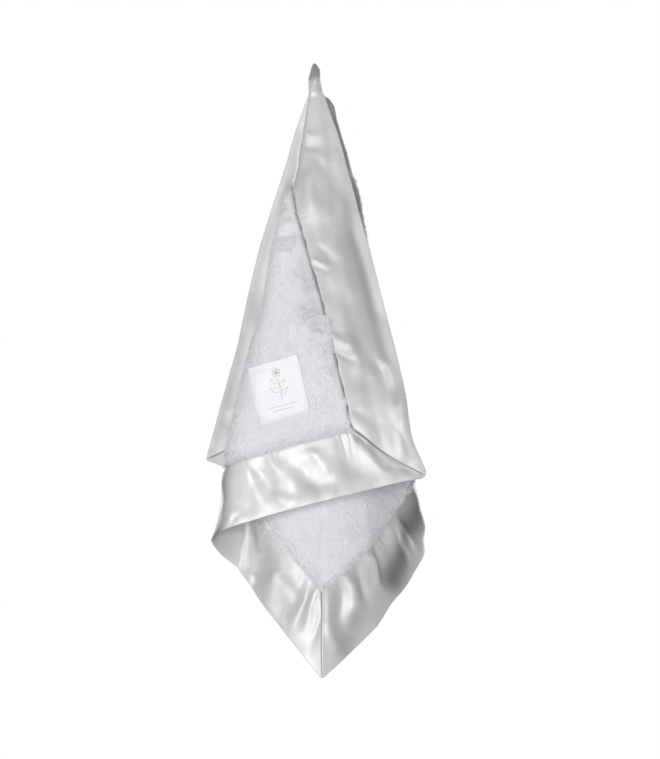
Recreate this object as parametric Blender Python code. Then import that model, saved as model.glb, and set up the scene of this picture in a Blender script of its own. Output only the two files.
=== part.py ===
"""A square plush comfort blanket with a wide satin border, hanging folded from one corner.

A place on the flat cloth is given by its reach, the distance from the hung corner, and by its
fan angle: 0 degrees along the front upper edge, 45 along the diagonal and 90 along the back
upper edge. The weight of the cloth pulls it into straight rays from the hung corner, so one
cross-section folded like a Z, swept along the rays, gives the form of every piece.
"""

import math
from functools import lru_cache

import bmesh
import bpy
import numpy as np

# Flat sizes in metres
SIDE = 0.3556
BORDER = 0.0508
GAP = 0.0003

# Thickness of each cloth
SATIN = 0.0004
BACKING = 0.0006
PLUSH = 0.0030

# Seam where the satin takes in the plush
SEAM_ALLOWANCE = 0.0090
SEAM_TAPER = 0.0040
DITCH = 0.0014
PILE_RISE = 0.0025
EDGE_ROUND = 0.0005
THREAD_RADIUS = 0.00025
THREAD_TURN = 0.0020
SLOT_END = BORDER - SEAM_ALLOWANCE - GAP
SLOT_CLEARANCE = 0.0004
SLOT_HALF_HEIGHT = GAP / 2 + BACKING + SLOT_CLEARANCE

# Woven label on the front panel
LABEL_WIDTH = 0.0410
LABEL_LENGTH = 0.0475
LABEL_THICKNESS = 0.0006
LABEL_FROM_UPPER_EDGE = 0.0813
LABEL_FROM_LOWER_EDGE = 0.0740
LABEL_STITCH_INSET = 0.0018
LABEL_COLUMNS = 9
LABEL_ROWS = 6

# How the cloth hangs: fold places in degrees of fan angle
HALF_FAN = 45.0
FAN = 2 * HALF_FAN
FRONT_FOLD = 29.3
FRONT_FOLD_HALF_WIDTH = 5.2
BACK_FOLD = 61.0
BACK_FOLD_HALF_WIDTH = 4.2
EASED_TURN_SHARE = 0.35
FAN_MARGIN = 15.0
FAN_STEPS_PER_DEGREE = 20

# Headings of the cross-section in degrees, 180 being leftward and 0 rightward
LEFTWARD = 180.0
FRONT_WAVE = 8.0
MIDDLE_LEAN = 14.0
MIDDLE_WAVE = 34.0
BACK_LEAN = -3.0
BACK_WAVE = 9.0
CURL_TURN = 240.0

# Direction of the front upper edge, sideways and in depth, as shares of its reach
EDGE_SIDE_SHARE = 0.264
EDGE_DEPTH_SHARE = -0.135
CURL_SIDE_SHARE = 0.33
CURL_DEPTH_SHARE = 0.12

# Share of each ray's flat length that is left once its ripples have taken up the slack
SLACK_ANGLES = (0.0, 29.3, 45.0, 61.0, 90.0)
SLACK_SHARES = (0.984, 0.972, 0.993, 0.998, 0.966)

# Sideways sway of four rays, as shares of reach: the tight satin folds below the peg, the
# shoulders where the thick plush begins, and the free cloth further down
SWAY_REACHES = (0.0, 0.020, 0.040, 0.060, 0.090, 0.130, 0.160, 0.200, 0.250, 0.300, 0.356)
SWAY_ANGLES = (0.0, 29.0, 61.0, 90.0)
SWAY_SHARES = ((0.0, 0.04, 0.035, 0.050, 0.032, 0.020, 0.016, 0.008, 0.003, -0.004, -0.005),
               (0.06, 0.07, 0.067, 0.067, 0.070, 0.026, 0.026, 0.030, 0.017, 0.006, 0.008),
               (0.09, 0.09, 0.165, 0.140, 0.110, 0.072, 0.055, 0.038, 0.027, 0.022, 0.022),
               (0.15, 0.10, 0.035, 0.0, -0.003, -0.016, -0.020, -0.011, 0.002, 0.0, 0.0))

# Sideways drift of the free lower cloth, again as shares of reach
DRIFT_START = 0.180
DRIFT_END = 0.340
DRIFT_ANGLES = (0.0, 29.3, 33.0, 37.0, 45.0, 50.0, 61.0, 90.0)
DRIFT_SHARES = (0.0, 0.0, 0.024, 0.004, -0.020, -0.004, -0.003, 0.0)

# The hung corner: where its curl turns into the folds, its blunt end, and the peg below it
TIP_REACH = 0.0012
TIP_BLUNT = 0.0050
CURL_END = 0.008
FOLD_START = 0.030
PEG_BELOW_TIP = 0.060

# Facets: reaches of the cross rows, angle steps, and the finite step that finds a normal
ROW_REACHES = (0.006, 0.011, 0.016, 0.020, 0.030, 0.040, 0.060, 0.090, 0.110, 0.130,
               0.160, 0.200, 0.250, 0.300)
PLAIN_COLUMN_STEP = 3.6
FOLD_COLUMN_COUNT = 6
LEAST_DROP_SHARE = 0.01
GREATEST_SINE_SHARE = 0.5
EDGE_SINE_SHARE = 0.25
NORMAL_STEP_SHARE = 0.001
TABLE_COUNT = 9
MERGE_SHARE = 0.000003
THREAD_SIDES_RESOLUTION = 0

COLLECTION = "comfort_blanket_lovey"


def smooth(share):
    """Ease from 0 to 1, held outside."""
    share = np.clip(share, 0.0, 1.0)
    return share * share * (3.0 - 2.0 * share)


def fold_heading(angle):
    """Heading of the Z-folded cross-section at each fan angle."""
    front = LEFTWARD + FRONT_WAVE * np.sin(2 * math.pi * angle / FRONT_FOLD)
    middle_share = (angle - FRONT_FOLD) / (BACK_FOLD - FRONT_FOLD)
    middle = MIDDLE_LEAN - MIDDLE_WAVE * np.sin(2 * math.pi * middle_share)
    back_share = (angle - BACK_FOLD) / (FAN - BACK_FOLD)
    back = LEFTWARD + BACK_LEAN + BACK_WAVE * np.sin(2 * math.pi * back_share)
    first_turn = fold_turn(angle, FRONT_FOLD, FRONT_FOLD_HALF_WIDTH)
    second_turn = fold_turn(angle, BACK_FOLD, BACK_FOLD_HALF_WIDTH)
    return front + (middle - front) * first_turn + (back - middle) * second_turn


def fold_turn(angle, centre, half_width):
    """How much of a fold's turn lies before each angle, from 0 to 1."""
    share = np.clip((angle - centre + half_width) / (2 * half_width), 0.0, 1.0)
    return (1 - EASED_TURN_SHARE) * share + EASED_TURN_SHARE * smooth(share)


def curl_heading(angle):
    """Heading of the rolled cross-section at the hung corner, open towards the back."""
    return LEFTWARD + CURL_TURN * (0.5 - angle / FAN)


@lru_cache(maxsize=None)
def ray_table(fold_share):
    """Directions of the rays over the fan, at a share of the way from the curl to the folds."""
    steps = int((FAN + 2 * FAN_MARGIN) * FAN_STEPS_PER_DEGREE)
    angles = np.linspace(-FAN_MARGIN, FAN + FAN_MARGIN, steps + 1)
    heading = (1 - fold_share) * curl_heading(angles) + fold_share * fold_heading(angles)
    heading = np.radians(heading)
    step = math.radians(1.0 / FAN_STEPS_PER_DEGREE)
    start = int(FAN_MARGIN * FAN_STEPS_PER_DEGREE)
    side = np.zeros(steps + 1)
    depth = np.zeros(steps + 1)
    side[start] = (1 - fold_share) * CURL_SIDE_SHARE + fold_share * EDGE_SIDE_SHARE
    depth[start] = (1 - fold_share) * CURL_DEPTH_SHARE + fold_share * EDGE_DEPTH_SHARE
    for sign, stops in ((1, range(start, steps)), (-1, range(start, 0, -1))):
        for k in stops:
            across, into = math.cos(heading[k]), math.sin(heading[k])
            down = max(1 - side[k] ** 2 - depth[k] ** 2, LEAST_DROP_SHARE)
            climb = (side[k] * across + depth[k] * into) ** 2 / down
            stride = sign * step / math.sqrt(1 + climb)
            side[k + sign] = side[k] + across * stride
            depth[k + sign] = depth[k] + into * stride
    return angles, side, depth


def ray_direction(angle, fold_share):
    """Sideways and depth shares of each ray, read between the tables."""
    place = np.clip(fold_share, 0.0, 1.0) * (TABLE_COUNT - 1)
    side = np.zeros_like(angle)
    depth = np.zeros_like(angle)
    for k in range(TABLE_COUNT):
        weight = np.clip(1 - np.abs(place - k), 0.0, 1.0)
        angles, table_side, table_depth = ray_table(k / (TABLE_COUNT - 1))
        side += weight * np.interp(angle, angles, table_side)
        depth += weight * np.interp(angle, angles, table_depth)
    return side, depth


def sideways_sway(reach, angle):
    """Sideways shift of a place on the cloth from its straight ray, as a share of its reach."""
    sway = np.zeros_like(angle)
    place = np.interp(angle, SWAY_ANGLES, range(len(SWAY_ANGLES)))
    for k, shares in enumerate(SWAY_SHARES):
        sway += np.clip(1 - np.abs(place - k), 0.0, 1.0) * np.interp(reach, SWAY_REACHES, shares)
    drift = smooth((reach - DRIFT_START) / (DRIFT_END - DRIFT_START))
    return sway + drift * np.interp(angle, DRIFT_ANGLES, DRIFT_SHARES)


def middle_surface(reach, angle):
    """Points of the surface midway between the two faces of the cloth."""
    fold_share = smooth((reach - CURL_END) / (FOLD_START - CURL_END))
    side, depth = ray_direction(angle, fold_share)
    side = side + sideways_sway(reach, angle)
    length = reach * np.interp(angle, SLACK_ANGLES, SLACK_SHARES)
    down = np.sqrt(np.maximum(1 - side ** 2 - depth ** 2, LEAST_DROP_SHARE))
    girth = np.sqrt(length ** 2 + TIP_BLUNT ** 2 * (1 - fold_share))
    height = PEG_BELOW_TIP - length * down
    return np.stack([girth * side, girth * depth, height], axis=-1)


def cloth_points(reach, angle, offset):
    """Points at an offset from the middle surface, positive towards the front face."""
    reach = np.asarray(reach, dtype=float)
    angle = np.asarray(angle, dtype=float)
    step = NORMAL_STEP_SHARE * SIDE
    turn = np.degrees(step / np.maximum(reach, TIP_BLUNT))
    over = middle_surface(reach, angle + turn) - middle_surface(reach, angle - turn)
    down = middle_surface(reach + step, angle) - middle_surface(np.abs(reach - step), angle)
    normal = np.cross(over, down)
    normal /= np.linalg.norm(normal, axis=-1, keepdims=True)
    return middle_surface(reach, angle) + normal * np.asarray(offset)[..., None]


def border_share(angle):
    """Distance from the nearest upper edge, and from the hung corner along the edge, over reach."""
    leg = math.radians(angle if angle < HALF_FAN else FAN - angle)
    return math.sin(leg), math.cos(leg)


def column_angles(first, last):
    """Fan angles of the facets' columns: even steps on the layers, closer ones round the folds."""
    distances = (SLOT_END - SEAM_TAPER, SLOT_END, BORDER, BORDER + DITCH, BORDER + DITCH + PILE_RISE)
    corners = [border_corner_angle(distance) for distance in distances]
    stops = [first, last, HALF_FAN, *corners, *(FAN - corner for corner in corners)]
    folds = ((FRONT_FOLD, FRONT_FOLD_HALF_WIDTH), (BACK_FOLD, BACK_FOLD_HALF_WIDTH))
    for centre, half_width in folds:
        stops += [centre - half_width, centre + half_width]
    stops = sorted({stop for stop in stops if first <= stop <= last})
    angles = [stops[0]]
    for low, high in zip(stops, stops[1:]):
        on_fold = any(abs((low + high) / 2 - centre) < half_width for centre, half_width in folds)
        count = FOLD_COLUMN_COUNT if on_fold else math.ceil((high - low) / PLAIN_COLUMN_STEP)
        angles += [low + (high - low) * k / count for k in range(1, count + 1)]
    return angles


def border_corner_angle(distance):
    """Fan angle of the point at a distance from both edges of the corner that ends the front edge."""
    return math.degrees(math.atan2(distance, SIDE - distance))


def seam_height(distance):
    """Outer half thickness of a binding at a distance from the cloth's edge."""
    share = np.clip((distance - SLOT_END + SEAM_TAPER) / SEAM_TAPER, 0.0, 1.0)
    return SATIN + GAP / 2 + (SLOT_HALF_HEIGHT - GAP / 2) * share


def pile_height(distance):
    """Height of a plush panel's outer face over its inner one, at a distance from the edge."""
    share = np.clip((distance - BORDER - DITCH) / PILE_RISE, 0.0, 1.0)
    return BACKING + (PLUSH - BACKING) * share


def loft(name, sections, material):
    """Closed solid through outlines of equal point count."""
    bm = bmesh.new()
    rings = [[bm.verts.new(point) for point in section] for section in sections]
    count = len(rings[0])
    for ring, following in zip(rings, rings[1:]):
        for k in range(count):
            after = (k + 1) % count
            bm.faces.new((ring[k], ring[after], following[after], following[k]))
    for ring in (rings[0], rings[-1]):
        if (ring[0].co - ring[-1].co).length > MERGE_SHARE * SIDE:
            bm.faces.new(ring)
    bmesh.ops.remove_doubles(bm, verts=bm.verts, dist=MERGE_SHARE * SIDE)
    bmesh.ops.triangulate(bm, faces=bm.faces)
    bmesh.ops.dissolve_degenerate(bm, edges=bm.edges, dist=MERGE_SHARE * SIDE)
    bmesh.ops.recalc_face_normals(bm, faces=bm.faces)
    mesh = bpy.data.meshes.new(name)
    bm.to_mesh(mesh)
    bm.free()
    mesh.shade_smooth()
    mesh.set_sharp_from_angle(angle=math.radians(HALF_FAN))
    return add_part(name, mesh, material)


def add_part(name, data, material):
    """Object of the given name in the blanket's collection."""
    part = bpy.data.objects.new(name, data)
    data.materials.append(material)
    bpy.data.collections[COLLECTION].objects.link(part)
    return part


def make_material(name, colour, roughness, sheen=0.0):
    """Principled surface with the cloth's colour and gloss."""
    material = bpy.data.materials.new(name)
    material.use_nodes = True
    shader = material.node_tree.nodes["Principled BSDF"]
    shader.inputs["Base Color"].default_value = (*colour, 1.0)
    shader.inputs["Roughness"].default_value = roughness
    shader.inputs["Metallic"].default_value = 0.0
    shader.inputs["Sheen Weight"].default_value = sheen
    return material


def binding_columns(on_back):
    """Angles of a binding's columns, counted from the cloth's front or back upper edge."""
    if on_back:
        return [FAN - angle for angle in reversed(column_angles(HALF_FAN, FAN))]
    return column_angles(0.0, HALF_FAN)


def clear_of_diagonal(reach, angle):
    """Fan angle held half a gap short of the diagonal, where the next binding starts."""
    sine = min(GAP / (2 * reach), GREATEST_SINE_SHARE)
    return min(angle, HALF_FAN - math.degrees(math.asin(sine)))


def binding_section(rows, angle, on_back, thin=False):
    """Outline of a folded binding along one ray; a thin one is the round of its folded edge."""
    points = [(reach, seam_height(distance)) for reach, distance in rows]
    points += [(reach, seam_height(distance) - SATIN) for reach, distance in rows[:-3:-1]]
    points += [(reach, -offset) for reach, offset in reversed(points)]
    reaches = np.array([reach for reach, _ in points])
    offsets = np.array([0.0 if thin else offset for _, offset in points])
    angles = np.array([clear_of_diagonal(reach, angle) for reach in reaches])
    if thin:
        angles = -np.degrees(np.arcsin(np.minimum(EDGE_ROUND / reaches, EDGE_SINE_SHARE)))
    return cloth_points(reaches, FAN - angles if on_back else angles, offsets)


def upper_binding(name, on_back, material):
    """Binding on an edge that starts at the hung corner."""
    sections = []
    for angle in [-1.0] + binding_columns(on_back):
        across, along = border_share(max(angle, 0.0))
        mitre_reach = (SIDE - GAP / math.sqrt(2)) / (across + along)
        wanted = [TIP_REACH, *ROW_REACHES]
        taper_reach = (SLOT_END - SEAM_TAPER) / max(across, MERGE_SHARE)
        reaches = [min(reach, taper_reach, mitre_reach) for reach in wanted]
        for distance in (SLOT_END - SEAM_TAPER, SLOT_END, BORDER):
            reaches.append(min(distance / max(across, MERGE_SHARE), mitre_reach))
        rows = [(reach, reach * across) for reach in reaches]
        sections.append(binding_section(rows, angle, on_back, thin=angle < 0))
    return loft(name, sections, material)


def lower_binding(name, on_back, material):
    """Binding on an edge that ends at the lowest corner."""
    sections = []
    for angle in binding_columns(on_back):
        across, along = border_share(angle)
        mitre_reach = (SIDE + GAP / math.sqrt(2)) / (across + along)
        reaches = [max((SIDE - distance) / along, mitre_reach)
                   for distance in (0.0, SLOT_END - SEAM_TAPER, SLOT_END, BORDER)]
        rows = [(reach, SIDE - reach * along) for reach in reaches]
        sections.append(binding_section(rows, angle, on_back))
    return loft(name, sections, material)


def panel_reaches(angle):
    """Rows of a plush panel along one ray: seam allowance, ditch, pile, and the same again."""
    across, along = border_share(angle)
    corner_distance = SIDE * across / (across + along)
    distances = (BORDER - SEAM_ALLOWANCE, BORDER + DITCH, BORDER + DITCH + PILE_RISE)
    held = [min(distance, corner_distance) for distance in distances]
    near = [distance / across for distance in held]
    far = [(SIDE - distance) / along for distance in reversed(held)]
    between = [min(max(reach, near[-1]), far[0]) for reach in ROW_REACHES]
    rows = list(zip(near, held))
    rows += [(reach, distances[-1] if corner_distance > distances[-1] else corner_distance)
             for reach in between]
    rows += list(zip(far, reversed(held)))
    return rows


def plush_panel(name, face, material):
    """Square plush panel on one face of the cloth, its edge taken in by the bindings."""
    first = border_corner_angle(BORDER - SEAM_ALLOWANCE)
    sections = []
    for angle in column_angles(first, FAN - first):
        rows = panel_reaches(angle)
        reaches = np.array([reach for reach, _ in rows])
        angles = np.full(len(rows), angle)
        heights = np.array([pile_height(distance) for _, distance in rows])
        outer = cloth_points(reaches, angles, face * (GAP / 2 + heights))
        inner = cloth_points(reaches, angles, np.full(len(rows), face * GAP / 2))
        sections.append(np.concatenate([outer, inner[::-1]]))
    return loft(name, sections, material)


def thread(name, points, material, closed):
    """Sewing thread as a round cord through the points."""
    curve = bpy.data.curves.new(name, "CURVE")
    curve.dimensions = "3D"
    curve.bevel_depth = THREAD_RADIUS
    curve.bevel_resolution = THREAD_SIDES_RESOLUTION
    curve.use_fill_caps = True
    spline = curve.splines.new("POLY")
    spline.points.add(len(points) - 1)
    for spot, point in zip(spline.points, points):
        spot.co = (*point, 1.0)
    spline.use_cyclic_u = closed
    return add_part(name, curve, material)


def seam_thread(name, face, material):
    """Thread in the ditch between satin and plush, round all four sides of one face."""
    distance = BORDER + DITCH / 2
    first = border_corner_angle(distance)
    angles = column_angles(first, FAN - first)
    upper = [(distance / border_share(angle)[0], angle) for angle in angles]
    lower = [((SIDE - distance) / border_share(angle)[1], angle) for angle in angles]
    route = np.array(upper + lower[-2:0:-1])
    lift = GAP / 2 + BACKING + GAP + THREAD_RADIUS
    points = cloth_points(route[:, 0], route[:, 1], np.full(len(route), face * lift))
    return thread(name, points, material, closed=True)


def to_fan(along, across):
    """Reach and fan angle of a point along the front upper edge and across from it."""
    return math.hypot(along, across), math.degrees(math.atan2(across, along))


def mitre_thread(name, inner, tip, material):
    """Thread over a mitre: up the front face, round the corner's tip and down the back face."""
    inner, tip = np.array(inner), np.array(tip)
    diagonal = np.linalg.norm(tip - inner)
    ends = [math.sqrt(2) * distance for distance in (SLOT_END - SEAM_TAPER, SLOT_END, BORDER)]
    distances = [reach for reach in ROW_REACHES if THREAD_TURN < reach < ends[0]]
    stops = [tip + (inner - tip) * distance / diagonal
             for distance in reversed([THREAD_TURN, *distances, *ends])]
    places = np.array([to_fan(*stop) for stop in stops])
    lift = GAP + THREAD_RADIUS
    lifts = np.array([seam_height(edge_distance(stop)) + lift for stop in stops])
    front = cloth_points(places[:, 0], places[:, 1], lifts)
    middle = middle_surface(places[:, 0], places[:, 1])
    back = cloth_points(places[:, 0], places[:, 1], -lifts)
    outward = middle[-1] - middle[-2]
    outward *= (THREAD_TURN + lift) / np.linalg.norm(outward)
    points = [*front, front[-1] + outward, back[-1] + outward, *back[::-1]]
    return thread(name, points, material, closed=False)


def edge_distance(place):
    """Distance from the nearest edge of the cloth."""
    along, across = place
    return min(along, across, SIDE - along, SIDE - across)


def label_places():
    """Corners of the label on the flat cloth: along the upper edge, and across from it."""
    low = SIDE - LABEL_FROM_LOWER_EDGE
    return low - LABEL_LENGTH, low, LABEL_FROM_UPPER_EDGE, LABEL_FROM_UPPER_EDGE + LABEL_WIDTH


def woven_label(name, material):
    """Thin label lying on the pile of the front panel."""
    top, low, near, far = label_places()
    under = GAP / 2 + PLUSH + GAP
    sections = []
    for across in np.linspace(near, far, LABEL_COLUMNS + 1):
        spots = [to_fan(along, across) for along in np.linspace(top, low, LABEL_ROWS + 1)]
        spots += spots[::-1]
        lifts = [under + LABEL_THICKNESS] * (LABEL_ROWS + 1) + [under] * (LABEL_ROWS + 1)
        reaches, angles = (np.array(column) for column in zip(*spots))
        sections.append(cloth_points(reaches, angles, lifts))
    return loft(name, sections, material)


def label_thread(name, material):
    """Thread round the label, inside its edges."""
    top, low, near, far = label_places()
    top, near = top + LABEL_STITCH_INSET, near + LABEL_STITCH_INSET
    low, far = low - LABEL_STITCH_INSET, far - LABEL_STITCH_INSET
    corners = [(top, near), (top, far), (low, far), (low, near)]
    spots = []
    for (along, across), (to_along, to_across) in zip(corners, corners[1:] + corners[:1]):
        for share in np.linspace(0.0, 1.0, LABEL_COLUMNS, endpoint=False):
            spots.append(to_fan(along + (to_along - along) * share,
                                across + (to_across - across) * share))
    lift = GAP / 2 + PLUSH + GAP + LABEL_THICKNESS + GAP + THREAD_RADIUS
    reaches, angles = (np.array(column) for column in zip(*spots))
    points = cloth_points(reaches, angles, np.full(len(spots), lift))
    return thread(name, points, material, closed=True)


def build():
    """Make every piece of the blanket."""
    for old in list(bpy.data.objects):
        bpy.data.objects.remove(old)
    bpy.context.scene.collection.children.link(bpy.data.collections.new(COLLECTION))
    plush_front = make_material("plush_front", (0.72, 0.72, 0.75), 0.95, sheen=0.5)
    plush_back = make_material("plush_back", (0.72, 0.72, 0.75), 0.95, sheen=0.5)
    plush_panel("plush_front_panel", 1, plush_front)
    plush_panel("plush_back_panel", -1, plush_back)
    for place, on_back in (("front", False), ("back", True)):
        upper = make_material("satin_" + place + "_upper", (0.68, 0.68, 0.69), 0.32, sheen=0.2)
        lower = make_material("satin_" + place + "_lower", (0.68, 0.68, 0.69), 0.32, sheen=0.2)
        upper_binding("satin_binding_" + place + "_upper", on_back, upper)
        lower_binding("satin_binding_" + place + "_lower", on_back, lower)
    cotton = make_material("seam_thread", (0.62, 0.62, 0.64), 0.6)
    seam_thread("seam_stitching_front", 1, cotton)
    seam_thread("seam_stitching_back", -1, cotton)
    far = SIDE - BORDER
    corners = {"hung": ((BORDER, BORDER), (0.0, 0.0)),
               "front": ((far, BORDER), (SIDE, 0.0)),
               "low": ((far, far), (SIDE, SIDE)),
               "back": ((BORDER, far), (0.0, SIDE))}
    for corner, (inner, tip) in corners.items():
        mitre_thread("mitre_stitching_" + corner + "_corner", inner, tip, cotton)
    woven_label("woven_label", make_material("label_weave", (0.86, 0.86, 0.88), 0.75))
    label_thread("label_stitching", make_material("label_thread", (0.80, 0.80, 0.82), 0.6))


build()
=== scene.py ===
"""A square plush comfort blanket with a wide satin border, hanging folded from one corner.

Every place on the flat cloth is given in metres along the front upper edge and across from it,
measured from the hung corner, and by its lift off the middle of the cloth, positive on the face
with the label. One surface carries all the pieces, so satin, pile, seams and label stay together.
"""

import math
from functools import lru_cache

import bpy
import numpy as np
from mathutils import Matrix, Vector


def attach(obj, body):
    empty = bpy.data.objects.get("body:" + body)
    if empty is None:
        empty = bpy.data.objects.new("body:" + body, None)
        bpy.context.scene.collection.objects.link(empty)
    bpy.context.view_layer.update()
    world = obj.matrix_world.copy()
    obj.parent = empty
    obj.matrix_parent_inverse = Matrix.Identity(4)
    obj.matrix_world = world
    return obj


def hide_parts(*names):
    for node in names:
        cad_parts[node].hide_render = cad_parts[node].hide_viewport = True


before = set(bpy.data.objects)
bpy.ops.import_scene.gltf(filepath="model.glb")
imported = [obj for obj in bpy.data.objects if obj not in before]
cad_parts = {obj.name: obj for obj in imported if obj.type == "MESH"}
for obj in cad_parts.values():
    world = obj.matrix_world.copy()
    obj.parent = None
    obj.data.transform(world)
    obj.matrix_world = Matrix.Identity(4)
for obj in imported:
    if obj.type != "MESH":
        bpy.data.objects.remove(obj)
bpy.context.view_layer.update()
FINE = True

# Flat sizes and thicknesses in metres, as in the model
SIDE = 0.3556
BORDER = 0.0508
FAR = SIDE - BORDER
GAP = 0.0003
SATIN = 0.0004
BACKING = 0.0006
PLUSH = 0.0030
SEAM_ALLOWANCE = 0.0090
SEAM_TAPER = 0.0040
MITRE_BEND = 0.0018
SLOT_END = BORDER - SEAM_ALLOWANCE - GAP
SLOT_HALF_HEIGHT = GAP / 2 + BACKING + 0.0004
LABEL_WIDTH = 0.0410
LABEL_LENGTH = 0.0475
LABEL_FROM_UPPER_EDGE = 0.0813
LABEL_LOW = SIDE - 0.0740
LABEL_STITCH_INSET = 0.0018
LABEL_REST = GAP / 2 + PLUSH + GAP

# Hang of the cloth, as in the model: fan angles and headings in degrees, shares of reach
FAN = 90.0
FRONT_FOLD, FRONT_FOLD_HALF_WIDTH = 29.3, 5.2
BACK_FOLD, BACK_FOLD_HALF_WIDTH = 61.0, 4.2
EASED_TURN_SHARE = 0.35
FAN_MARGIN = 15.0
FAN_STEPS_PER_DEGREE = 20
LEFTWARD = 180.0
FRONT_WAVE = 8.0
MIDDLE_LEAN, MIDDLE_WAVE = 14.0, 34.0
BACK_LEAN, BACK_WAVE = -3.0, 9.0
CURL_TURN = 240.0
CURL_SIDE_SHARE, CURL_DEPTH_SHARE = 0.33, 0.12
EDGE_SIDE_SHARE, EDGE_DEPTH_SHARE = 0.264, -0.135
CURL_END, FOLD_START = 0.008, 0.030
SLACK_ANGLES = (0.0, 29.3, 45.0, 61.0, 90.0)
SLACK_SHARES = (0.984, 0.972, 0.993, 0.998, 0.966)
SWAY_REACHES = (0.0, 0.020, 0.040, 0.060, 0.090, 0.130, 0.160, 0.200, 0.250, 0.300, 0.356)
SWAY_ANGLES = (0.0, 29.0, 61.0, 90.0)
SWAY_SHARES = ((0.0, 0.04, 0.035, 0.050, 0.032, 0.020, 0.016, 0.008, 0.003, -0.004, -0.005),
               (0.06, 0.07, 0.067, 0.067, 0.070, 0.026, 0.026, 0.030, 0.017, 0.006, 0.008),
               (0.09, 0.09, 0.165, 0.140, 0.110, 0.072, 0.055, 0.038, 0.027, 0.022, 0.022),
               (0.15, 0.10, 0.035, 0.0, -0.003, -0.016, -0.020, -0.011, 0.002, 0.0, 0.0))
DRIFT_ANGLES = (0.0, 29.3, 33.0, 37.0, 45.0, 50.0, 61.0, 90.0)
DRIFT_SHARES = (0.0, 0.0, 0.024, 0.004, -0.020, -0.004, -0.003, 0.0)
GRIP_BELOW_TIP = 0.060
TABLE_COUNT = 9

# The hung tip and the shoulder of the back fold beside it, finer than in the model
TIP_BLUNT = 0.0050
TIP_DOME = 0.0118
TIP_LEAN = 0.0120
TIP_DIP = 0.0024
TIP_RISE = 0.0010
TIP_REACHES = (0.0, 0.020, 0.025, 0.030, 0.036, 0.060)
TIP_LEFT = (-0.0040, -0.0040, -0.0043, -0.0056, -0.0100, -0.2000)
TIP_RIGHT = (0.0060, 0.0060, 0.0063, 0.0085, 0.0200, 0.2000)
SHOULDER_SHARE, SHOULDER_REACH = 0.040, 0.037


# Noise and easing

@lru_cache(maxsize=None)
def noise_table(seed):
    """Gradient directions of a noise lattice."""
    angles = np.random.default_rng(seed).random((256, 256)) * 2 * math.pi
    return np.cos(angles), np.sin(angles)


def noise(x, y, seed):
    """Smooth gradient noise from about -1 to 1, one feature a unit."""
    gx, gy = noise_table(seed)
    x0, y0 = np.floor(x).astype(int), np.floor(y).astype(int)
    fx, fy = x - x0, y - y0
    sx, sy = (f * f * f * (f * (f * 6 - 15) + 10) for f in (fx, fy))

    def corner(i, j):
        a, b = (x0 + i) & 255, (y0 + j) & 255
        return gx[a, b] * (fx - i) + gy[a, b] * (fy - j)

    low = corner(0, 0) * (1 - sx) + corner(1, 0) * sx
    high = corner(0, 1) * (1 - sx) + corner(1, 1) * sx
    return 1.5 * (low * (1 - sy) + high * sy)


def mottle(along, across, size, seed):
    """Noise over the flat cloth with features of one size."""
    return noise(along / size, across / size, seed)


def smooth(share):
    """Ease from 0 to 1, held outside."""
    share = np.clip(share, 0.0, 1.0)
    return share * share * (3.0 - 2.0 * share)


def bell(distance, width):
    return np.exp(-(distance / width) ** 2)


def unit(vectors):
    return vectors / np.maximum(np.linalg.norm(vectors, axis=-1, keepdims=True), 1e-12)


# The hanging surface

def fold_turn(angle, centre, half_width):
    """Share of a fold's turn that is done at each fan angle."""
    share = np.clip((angle - centre + half_width) / (2 * half_width), 0.0, 1.0)
    return (1 - EASED_TURN_SHARE) * share + EASED_TURN_SHARE * smooth(share)


def fold_heading(angle):
    """Heading of the Z-folded cross-section at each fan angle."""
    front = LEFTWARD + FRONT_WAVE * np.sin(2 * math.pi * angle / FRONT_FOLD)
    middle_share = (angle - FRONT_FOLD) / (BACK_FOLD - FRONT_FOLD)
    middle = MIDDLE_LEAN - MIDDLE_WAVE * np.sin(2 * math.pi * middle_share)
    back_share = (angle - BACK_FOLD) / (FAN - BACK_FOLD)
    back = LEFTWARD + BACK_LEAN + BACK_WAVE * np.sin(2 * math.pi * back_share)
    first_turn = fold_turn(angle, FRONT_FOLD, FRONT_FOLD_HALF_WIDTH)
    second_turn = fold_turn(angle, BACK_FOLD, BACK_FOLD_HALF_WIDTH)
    return front + (middle - front) * first_turn + (back - middle) * second_turn


@lru_cache(maxsize=None)
def ray_table(fold_share):
    """Directions of the rays over the fan, at a share of the way from the curl to the folds."""
    steps = int((FAN + 2 * FAN_MARGIN) * FAN_STEPS_PER_DEGREE)
    angles = np.linspace(-FAN_MARGIN, FAN + FAN_MARGIN, steps + 1)
    curl = LEFTWARD + CURL_TURN * (0.5 - angles / FAN)
    heading = np.radians((1 - fold_share) * curl + fold_share * fold_heading(angles))
    step = math.radians(1.0 / FAN_STEPS_PER_DEGREE)
    start = int(FAN_MARGIN * FAN_STEPS_PER_DEGREE)
    side = np.zeros(steps + 1)
    depth = np.zeros(steps + 1)
    side[start] = (1 - fold_share) * CURL_SIDE_SHARE + fold_share * EDGE_SIDE_SHARE
    depth[start] = (1 - fold_share) * CURL_DEPTH_SHARE + fold_share * EDGE_DEPTH_SHARE
    for sign, stops in ((1, range(start, steps)), (-1, range(start, 0, -1))):
        for k in stops:
            across, into = math.cos(heading[k]), math.sin(heading[k])
            down = max(1 - side[k] ** 2 - depth[k] ** 2, 0.01)
            climb = (side[k] * across + depth[k] * into) ** 2 / down
            stride = sign * step / math.sqrt(1 + climb)
            side[k + sign] = side[k] + across * stride
            depth[k + sign] = depth[k] + into * stride
    return angles, side, depth


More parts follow.
